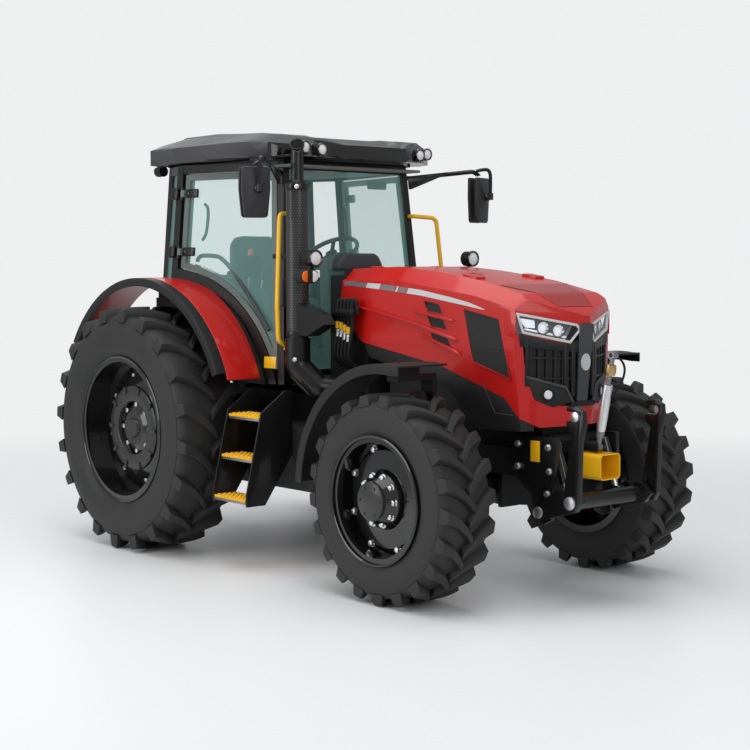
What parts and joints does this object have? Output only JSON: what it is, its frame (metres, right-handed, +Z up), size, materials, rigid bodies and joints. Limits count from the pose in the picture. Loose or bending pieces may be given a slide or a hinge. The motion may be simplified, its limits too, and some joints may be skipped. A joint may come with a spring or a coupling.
{
  "type": "farm tractor",
  "caption": "Farm tractor with a closed glazed cab, lugged tyres, red hood, exhaust stack, opening doors and hood, folding front linkage and rear three-point linkage",
  "frame": {"origin": "on the ground under the middle of the whole tractor", "axes": "+X forward, +Y to the driver's left, +Z up"},
  "size_m": [4.6379, 2.528, 2.912],
  "materials": {
    "red_paint": "glossy red paint",
    "black_paint": "satin black paint",
    "grey_paint": "dark grey paint",
    "cast_frame": "painted casting",
    "dark_plastic": "matt dark plastic",
    "yellow_paint": "yellow paint",
    "tyre_rubber": "tyre rubber",
    "tinted_glass": "pale green tinted glass",
    "lamp_lens": "clear lens",
    "seat_cloth": "grey seat cloth",
    "hose_rubber": "black hose",
    "bright_steel": "bare steel"
  },
  "bodies": {
    "chassis": {"transmission_housing": "cast_frame", "rear_axle_housings": "cast_frame", "front_frame": "cast_frame", "engine_block": "cast_frame", "front_axle_beam": "cast_frame", "rear_fenders": "red_paint", "fender_flares": "dark_plastic", "cab_frame": "black_paint", "cab_body": "dark_plastic", "roof": "dark_plastic", "windscreen": "tinted_glass", "rear_window": "tinted_glass", "quarter_windows": "tinted_glass", "seat_base": "dark_plastic", "seat_cushions": "seat_cloth", "side_console": "dark_plastic", "dashboard": "dark_plastic", "steering_wheel": "dark_plastic", "cowl": "dark_plastic", "exhaust_stack": "black_paint", "handrails": "yellow_paint", "mirrors": "dark_plastic", "side_lamps": "lamp_lens", "roof_lamps": "lamp_lens", "side_tanks": "dark_plastic", "steps": "black_paint", "hydraulic_hoses": "hose_rubber", "coupler_rack": "bright_steel", "front_linkage_frame": "black_paint", "front_pto_guard": "yellow_paint", "front_lift_cylinders": "black_paint", "drawbar": "cast_frame"},
    "rear_wheel_left": {"rear_rim_left": "black_paint", "rear_tyre_left": "tyre_rubber"},
    "steered_left": {"knuckle_left": "cast_frame", "front_fender_left": "dark_plastic"},
    "front_wheel_left": {"front_rim_left": "black_paint", "front_tyre_left": "tyre_rubber"},
    "door_left": {"door_frame_left": "black_paint", "door_glass_left": "tinted_glass"},
    "rear_wheel_right": {"rear_rim_right": "black_paint", "rear_tyre_right": "tyre_rubber"},
    "steered_right": {"knuckle_right": "cast_frame", "front_fender_right": "dark_plastic"},
    "front_wheel_right": {"front_rim_right": "black_paint", "front_tyre_right": "tyre_rubber"},
    "door_right": {"door_frame_right": "black_paint", "door_glass_right": "tinted_glass"},
    "hood_lid": {"hood": "red_paint", "grille": "dark_plastic", "headlamps": "lamp_lens", "hood_screens": "dark_plastic", "side_panels": "black_paint"},
    "front_lift": {"front_lift_arms": "black_paint"},
    "front_hooks": {"front_hook_arms": "black_paint"},
    "front_rods": {"front_lift_rods": "bright_steel"},
    "top_link": {"front_top_link": "bright_steel"},
    "rear_links": {"rear_lower_links": "black_paint"},
    "rear_lift": {"rear_lift_arms": "black_paint"},
    "rear_rods": {"rear_lift_rods": "black_paint"}
  },
  "joints": [
    {"name": "rear_wheel_left_spin", "type": "hinge", "parent": "chassis", "child": "rear_wheel_left", "pos_m": [-1.221, 1.004, 0.852], "axis": [0, 1, 0], "continuous": true},
    {"name": "steering_left", "type": "hinge", "parent": "chassis", "child": "steered_left", "pos_m": [1.352, 0.72, 0.626], "axis": [0, 0, 1], "range_deg": [-35, 35]},
    {"name": "front_wheel_left_spin", "type": "hinge", "parent": "steered_left", "child": "front_wheel_left", "pos_m": [1.352, 0.9, 0.626], "axis": [0, 1, 0], "continuous": true},
    {"name": "door_left_hinge", "type": "hinge", "parent": "chassis", "child": "door_left", "pos_m": [-1.116, 0.79469, 2.09], "axis": [0, -0.0831, 0.9965], "range_deg": [0, 75]},
    {"name": "rear_wheel_right_spin", "type": "hinge", "parent": "chassis", "child": "rear_wheel_right", "pos_m": [-1.221, -1.004, 0.852], "axis": [0, 1, 0], "continuous": true},
    {"name": "steering_right", "type": "hinge", "parent": "chassis", "child": "steered_right", "pos_m": [1.352, -0.72, 0.626], "axis": [0, 0, 1], "range_deg": [-35, 35]},
    {"name": "front_wheel_right_spin", "type": "hinge", "parent": "steered_right", "child": "front_wheel_right", "pos_m": [1.352, -0.9, 0.626], "axis": [0, 1, 0], "continuous": true},
    {"name": "door_right_hinge", "type": "hinge", "parent": "chassis", "child": "door_right", "pos_m": [-1.116, -0.79469, 2.09], "axis": [0, -0.0831, -0.9965], "range_deg": [0, 75]},
    {"name": "hood_hinge", "type": "hinge", "parent": "chassis", "child": "hood_lid", "pos_m": [0.249, 0, 1.93], "axis": [0, -1, 0], "range_deg": [0, 50]},
    {"name": "front_lift_pivot", "type": "hinge", "parent": "chassis", "child": "front_lift", "pos_m": [1.929, 0, 0.545], "axis": [0, 1, 0], "range_deg": [0, 30]},
    {"name": "front_hook_fold", "type": "hinge", "parent": "front_lift", "child": "front_hooks", "pos_m": [2.219, 0, 0.637], "axis": [0, 1, 0], "range_deg": [0, 90]},
    {"name": "front_rod_slide", "type": "slide", "parent": "chassis", "child": "front_rods", "axis": [0.3162, 0, -0.9487], "range_m": [0, 0.08951]},
    {"name": "top_link_hinge", "type": "hinge", "parent": "chassis", "child": "top_link", "pos_m": [2.107, 0, 0.925], "axis": [0, 1, 0], "range_deg": [0, 70]},
    {"name": "rear_link_pivot", "type": "hinge", "parent": "chassis", "child": "rear_links", "pos_m": [-1.401, 0, 0.59], "axis": [0, 1, 0], "range_deg": [-20, 30]},
    {"name": "rear_lift_pivot", "type": "hinge", "parent": "chassis", "child": "rear_lift", "pos_m": [-1.471, 0, 1.04], "axis": [0, 1, 0], "range_deg": [-20, 30]},
    {"name": "rear_rod_pivot", "type": "hinge", "parent": "rear_lift", "child": "rear_rods", "pos_m": [-1.901, 0, 1.04], "axis": [0, 1, 0], "range_deg": [-30, 20]}
  ],
  "couplings": [
    {"joint": "steering_left", "follows": "steering_right", "ratio": 1},
    {"joint": "front_rod_slide", "follows": "front_lift_pivot", "m_per_rad": 0.17},
    {"joint": "rear_lift_pivot", "follows": "rear_link_pivot", "ratio": 1},
    {"joint": "rear_rod_pivot", "follows": "rear_link_pivot", "ratio": -1}
  ]
}
